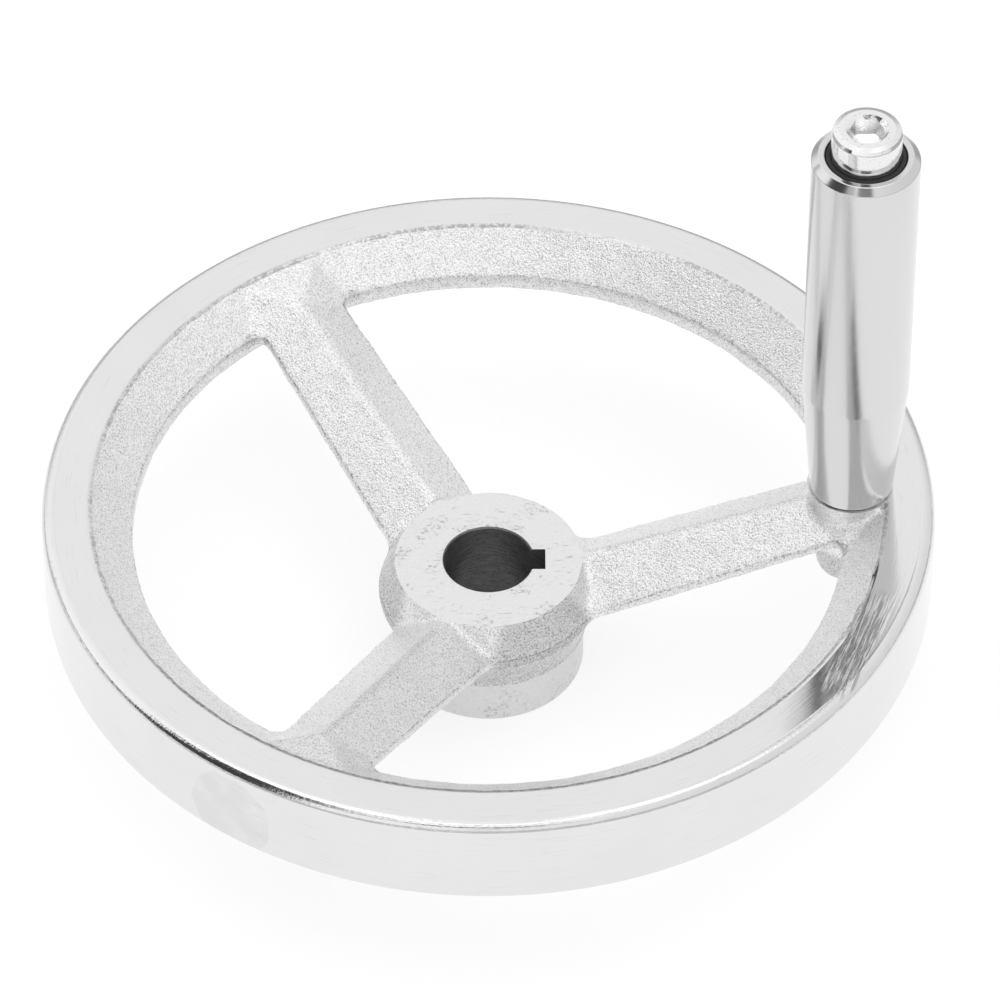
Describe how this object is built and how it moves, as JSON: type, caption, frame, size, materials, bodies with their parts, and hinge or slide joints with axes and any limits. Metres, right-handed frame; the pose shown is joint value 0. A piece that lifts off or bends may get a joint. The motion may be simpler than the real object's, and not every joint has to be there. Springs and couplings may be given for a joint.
{
  "type": "machine handwheel",
  "caption": "Dished cast handwheel with a plated rim, roof-shaped spokes, a keyed hub bore and a steel handle that turns on a shoulder screw.",
  "frame": {"origin": "on the wheel's axis, in the plane of the hub's back end", "axes": "+Z along the bore from the hub's back end towards the handle; +X from the wheel's axis to the handle's axis"},
  "size_m": [0.16, 0.16, 0.1258],
  "materials": {
    "plated_casting": "satin",
    "plated_sleeve": "polished",
    "plated_screw": "polished",
    "black_rubber": "matte"
  },
  "bodies": {
    "wheel": {"wheel_casting": "plated_casting", "handle_screw": "plated_screw", "end_ring": "black_rubber"},
    "handle": {"handle_sleeve": "plated_sleeve"}
  },
  "joints": [
    {"name": "handle_spin", "type": "hinge", "parent": "wheel", "child": "handle", "pos_m": [0.0652, 0, 0.0799], "axis": [0, 0, 1], "continuous": true}
  ]
}
